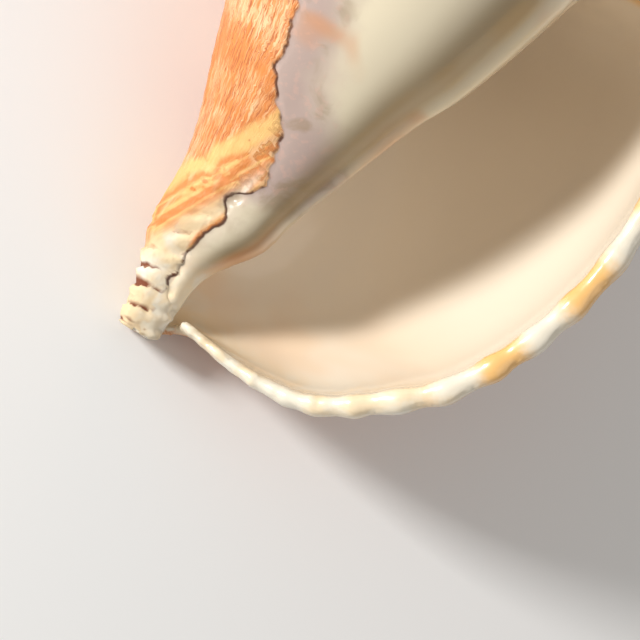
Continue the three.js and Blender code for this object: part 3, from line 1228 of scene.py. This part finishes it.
@dataclass(frozen=True)
class ShellFinish:
    """The finish of the whole shell, zone by zone."""

    streaked: StreakedFinish = StreakedFinish()
    chalky: ChalkyFinish = ChalkyFinish()
    glazed: GlazedFinish = GlazedFinish()
    mouth: MouthFinish = MouthFinish()
    lip: LipFinish = LipFinish()
    inside_span: Span = (0.2, 0.8)
    glazed_span: Span = (-0.3, 0.5)
    lip_span: Span = (24.0, 8.0)
    glossy_rim_span: Span = (7.0, 4.5)
    bump: float = 0.6
    bump_depth: float = 0.6 * MM
    coat: float = 0.35
    lip_coat: float = 0.5
    coat_roughness: float = 0.1
    refraction: float = 1.5

    def outside(self, g: Graph) -> tuple[bpy.types.NodeSocket, bpy.types.NodeSocket]:
        """Colour and relief of the streaked outside."""
        look = self.streaked
        pattern = g.attribute("pattern", "Vector")
        streak = g.noise(g.scaled(pattern, look.streak_grain), 1.0, 3.0, 1.1)
        hair = g.noise(g.scaled(pattern, look.hair_grain), 1.0, 3.0, 1.1)
        band = g.noise(g.scaled(pattern, look.band_grain), 1.0, 2.0, 0.3)
        patch = g.noise(g.scaled(pattern, look.patch_grain), 1.0, 3.0, 0.8)
        tone = g.plus(g.times(streak, look.streak_share), g.times(hair, look.hair_share))
        tone = g.plus(tone, g.waver(band, look.band_share))
        colour = g.mix(g.span(tone, *look.tone_span), look.orange, look.cream)
        dark_hair = g.span(hair, *look.dark_hair_span)
        dark = g.times(dark_hair, g.span(patch, *look.dark_patch_span))
        colour = g.mix(g.times(dark, look.darkness), colour, look.brown)
        relief = g.plus(g.times(hair, look.hair_relief), g.times(streak, look.streak_relief))
        return self.lower(g, colour, patch), relief

    def lower(
        self, g: Graph, streaks: bpy.types.NodeSocket, patch: bpy.types.NodeSocket
    ) -> bpy.types.NodeSocket:
        """Add the pale band and the curved growth lines below it.

        Args:
            g: The material being wired.
            streaks: Colour of the streaked part.
            patch: Broad noise.

        Returns:
            The colour of the whole outside.
        """
        look = self.streaked
        place = g.place()
        band = g.attribute("band")
        lines = g.node("ShaderNodeCombineXYZ", X=g.times(band, look.lines_per_unit))
        soft = g.noise(place, look.soft_noise, 3.0, 0.6)
        g.feed(lines.inputs["Y"], g.times(soft, look.line_waver))
        line = g.noise(lines.outputs[0], 1.0, 3.0, 0.3)
        growth = g.mix(g.span(line, *look.line_span), look.orange, look.yellow)
        pale_patch = g.times(g.span(patch, *look.pale_patch_span), look.pale_patch)
        growth = g.mix(pale_patch, growth, look.cream)
        wavy = g.plus(band, g.waver(soft, look.band_waver))
        colour = g.mix(g.span(wavy, *look.below_span), streaks, growth)
        low_side = g.span(wavy, *look.pale_low_span)
        pale = g.times(low_side, g.span(wavy, *look.pale_high_span))
        colour = g.mix(g.times(pale, look.pale), colour, look.yellow)
        pits = g.node("ShaderNodeTexVoronoi", Vector=place, Scale=look.pit_noise)
        pit = g.span(pits.outputs["Distance"], *look.pit_span)
        pit = g.times(pit, g.span(soft, *look.pitted_span))
        return g.mix(g.times(pit, pale), colour, look.brown)

    def canal(self, g: Graph) -> tuple[bpy.types.NodeSocket, bpy.types.NodeSocket]:
        """Colour and relief of the chalky canal."""
        look = self.chalky
        place = g.place()
        dust = g.noise(place, look.dust_noise, 5.0, 0.4)
        patch = g.noise(place, look.patch_noise, 3.0, 0.6)
        colour = g.mix(g.span(patch, *look.chalk_span), look.cream, look.chalk)
        low = g.span(g.attribute("hollow"), *look.crack_span)
        near = g.times(g.span(g.attribute("edge"), *look.near_glaze_span), look.near_glaze)
        blot = g.span(g.noise(place, look.stain_noise, 3.0, 0.8), *look.stain_span)
        stain = g.times(low, g.math("MAXIMUM", near, blot))
        colour = g.mix(stain, colour, look.crack)
        dusty = g.times(g.span(dust, *look.dust_span), look.dust)
        return g.mix(dusty, colour, look.cream), dust

    def glaze(self, g: Graph) -> tuple[bpy.types.NodeSocket, bpy.types.NodeSocket]:
        """Colour of the glazed inner lip, with a painted shade in the valley beside the cord, and
        where its edge is broken.
        """
        look = self.glazed
        place = g.place()
        edge, cord, height = g.attribute("edge"), g.attribute("cord"), g.attribute("axis")
        cloud = g.noise(place, look.cloud_noise, 3.0, 0.5)
        wavy = g.plus(edge, g.waver(cloud, look.cloud_waver))
        wavy = g.plus(wavy, g.times(g.span(height, *look.lower_span), look.lower_shift))
        colour = g.mix(g.span(wavy, *look.cream_span), look.lilac, look.cream)
        dirty = g.span(g.noise(place, look.dirt_noise, 4.0, 0.6), *look.dirt_span)
        dirty = g.times(g.times(dirty, look.dirt), g.span(wavy, *look.dirt_reach))
        colour = g.mix(dirty, colour, look.olive_dirt_and_shade)
        speck = g.span(g.noise(place, look.speck_noise, 4.0, 0.3), *look.speck_span)
        speckled = g.times(speck, g.span(wavy, *look.speck_reach))
        colour = g.mix(g.times(speckled, look.speck), colour, look.blush)
        smudge = g.span(g.noise(place, look.smudge_noise, 2.0, 0.5), *look.smudge_span)
        colour = g.mix(g.times(smudge, look.smudge), colour, look.orange)
        # painted shade: olive darkening in the valley just before the cord, where the glaze
        # curves away from the light
        valley_shade = g.times(g.span(cord, *look.valley_shade_right), g.span(cord, *look.valley_shade_left))
        colour = g.mix(g.times(valley_shade, look.valley_shade), colour, look.olive_dirt_and_shade)
        warm = g.times(g.span(height, *look.warm_height), g.span(cord, *look.warm_turn))
        colour = g.mix(g.times(warm, look.warm), colour, look.orange)
        broken = g.span(g.noise(place, look.broken_noise, 3.0, 0.4), *look.broken_span)
        broken = g.math("MAXIMUM", broken, g.span(height, *look.broken_height))
        crack = g.times(g.span(edge, *look.crack_inner), broken)
        return g.mix(g.times(crack, look.crack), colour, look.edge), broken

    def interior(self, g: Graph) -> bpy.types.NodeSocket:
        """Colour of the mouth."""
        look = self.mouth
        cloud = g.noise(g.place(), look.cloud_noise, 2.0, 0.4)
        low = g.span(g.attribute("axis"), *look.peach_height)
        peach = g.times(low, g.span(cloud, *look.cloud_span))
        return g.mix(g.times(peach, look.peach_share), look.cream, look.peach)

    def rim(self, g: Graph) -> bpy.types.NodeSocket:
        """Colour of the lip's lobes."""
        look = self.lip
        split = g.node("ShaderNodeSeparateXYZ", Vector=g.attribute("pattern", "Vector"))
        fine = g.noise(g.place(), look.fine_noise, 3.0, 0.8)
        far = g.plus(split.outputs[2], g.times(fine, look.waver))
        past_start = g.math("SUBTRACT", far, look.patch_start)
        turned = g.times(past_start, TURN / look.patch_pitch)
        patch = g.span(g.math("COSINE", turned), *look.patch_span)
        before_end = g.span(far, look.patch_end + look.patch_fade, look.patch_end)
        strong = g.times(patch, before_end)
        reach = g.plus(g.attribute("rim"), g.times(fine, look.depth_waver))
        deep = g.span(reach, *look.depth_span)
        soft = g.times(g.span(far, *look.peach_place), g.span(fine, *look.peach_span))
        colour = g.mix(g.times(soft, look.peach_share), look.white, look.peach)
        return g.mix(g.times(strong, deep), colour, look.orange)

    def material(self) -> bpy.types.Material:
        """Wire the zones into one material.

        Returns:
            The shell's material.
        """
        g = Graph("grown_shell")
        bare, relief = self.outside(g)
        canal, dust = self.canal(g)
        glaze, broken = self.glaze(g)
        canal_part = g.attribute("canal")
        edge, rim = g.attribute("edge"), g.attribute("rim")
        inside = g.span(g.attribute("inside"), *self.inside_span)
        glazed = g.span(edge, *self.glazed_span)
        lip_part = g.span(rim, *self.lip_span)
        gloss = g.math("MAXIMUM", glazed, inside)
        gloss = g.math("MAXIMUM", gloss, g.span(rim, *self.glossy_rim_span))
        colour = g.mix(canal_part, bare, canal)
        crack = g.times(g.span(edge, *self.glazed.crack_outer), broken)
        colour = g.mix(g.times(crack, self.glazed.crack), colour, self.glazed.edge)
        colour = g.mix(glazed, colour, glaze)
        colour = g.mix(inside, colour, self.interior(g))
        colour = g.mix(lip_part, colour, self.rim(g))
        dull = g.mix(canal_part, (self.streaked.roughness,) * 3, (self.chalky.roughness,) * 3)
        shiny = g.mix(inside, (self.glazed.roughness,) * 3, (self.mouth.roughness,) * 3)
        rough = g.mix(gloss, dull, shiny)
        matt = g.math("SUBTRACT", 1.0, gloss)
        height = g.times(g.plus(relief, g.times(dust, canal_part)), matt)
        coat = g.times(gloss, g.plus(self.coat, g.times(lip_part, self.lip_coat)))
        bump = g.node(
            "ShaderNodeBump", Strength=self.bump, Distance=self.bump_depth, Height=height
        )
        return g.finished(
            Base_Color=colour, Roughness=rough, Normal=bump.outputs[0],
            IOR=self.refraction, Coat_Weight=coat, Coat_Roughness=self.coat_roughness,
        )


@dataclass(frozen=True)
class Studio:
    """Pale floor, soft lights and the camera, in the shell's own directions."""

    resting: Resting
    centre: Triple = (35.9, 0.0, 28.7)
    right: Triple = (0.799, 0.0, 0.602)
    view_width: float = 172.8
    distance: float = 1100.0
    sensor: float = 36.0
    key_from: Triple = (-0.62, 0.50, 0.75)
    key_away: float = 1.2
    key_size: float = 0.22
    key_power: float = 17.0
    fill_from: Triple = (0.8, -0.3, 0.6)
    fill_away: float = 1.1
    fill_size: float = 1.2
    fill_power: float = 2.6
    floor_size: float = 6.0
    floor_colour: Triple = (0.88, 0.87, 0.85)
    floor_roughness: float = 0.8
    air: Triple = (1.0, 0.98, 0.95)
    air_strength: float = 0.32

    def turned(self, vector: np.ndarray) -> np.ndarray:
        """Turn a direction of the shell into the world's."""
        return self.resting.basis() @ np.asarray(vector, float)

    def axes(self) -> tuple[np.ndarray, np.ndarray, np.ndarray]:
        """Return the view's right, up and towards-the-viewer directions."""
        right = self.turned(np.array(self.right))
        toward = self.turned(np.array((0.0, -1.0, 0.0)))
        return right, np.cross(toward, right), toward

    def build(self, seat: np.ndarray) -> None:
        """Add the floor, the lights and the camera.

        Args:
            seat: Shift from the turned shell frame to the world, in metres.
        """
        right, up, toward = self.axes()
        target = self.turned(np.array(self.centre)) * MM + seat
        stand = target + toward * self.distance * MM
        bpy.ops.object.select_all(action="DESELECT")
        bpy.ops.object.camera_add(location=stand)
        camera = bpy.context.object
        facing = Matrix(np.array([right, up, toward]).T.tolist()).to_4x4()
        camera.matrix_world = Matrix.Translation(stand) @ facing
        camera.data.sensor_width = self.sensor
        camera.data.lens = self.sensor * self.distance / self.view_width
        bpy.context.scene.camera = camera
        bpy.ops.mesh.primitive_plane_add(size=self.floor_size)
        floor = bpy.context.object
        floor.name = "studio_floor"
        floor.data.materials.append(self.floor_material())
        floor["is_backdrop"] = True
        x, y, z = self.key_from
        way = right * x + up * y + toward * z
        key = target + way / np.linalg.norm(way) * self.key_away
        self.lamp("key", key, target, self.key_size, self.key_power)
        x, y, z = self.fill_from
        fill = target + (right * x + up * y + toward * z) * self.fill_away
        self.lamp("fill", fill, target, self.fill_size, self.fill_power)
        world = bpy.data.worlds.new("studio_air")
        world.use_nodes = True
        background = world.node_tree.nodes["Background"]
        background.inputs["Color"].default_value = (*self.air, 1.0)
        background.inputs["Strength"].default_value = self.air_strength
        bpy.context.scene.world = world
        bpy.context.scene.view_settings.view_transform = "Standard"

    @staticmethod
    def lamp(name: str, place: np.ndarray, target: np.ndarray, size: float, power: float) -> None:
        """Add a square soft light that faces a target."""
        bpy.ops.object.light_add(type="AREA", location=place)
        light = bpy.context.object
        light.name = name
        light.data.size = size
        light.data.energy = power
        aim = Vector(target) - Vector(place)
        light.rotation_euler = aim.to_track_quat("-Z", "Y").to_euler()

    def floor_material(self) -> bpy.types.Material:
        """Return the floor's plain pale finish."""
        return Graph("pale_floor").finished(
            Base_Color=self.floor_colour, Roughness=self.floor_roughness
        )


def main() -> None:
    """Build the shell and its studio."""
    logging.basicConfig(level=logging.INFO)
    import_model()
    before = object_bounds()
    resting = Resting()
    form = GrowthForm()
    shell, survey = ConchShell(form, resting, SurfaceRelief()).build(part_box("shell"))
    shell.data.materials.append(ShellFinish().material())
    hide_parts("shell")
    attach(shell, "root")
    log.info("built %s with %d points", shell.name, len(shell.data.vertices))
    seat = resting.shift(survey.points @ resting.basis().T * MM, before)
    Studio(resting).build(seat)


if __name__ == "__main__":
    main()
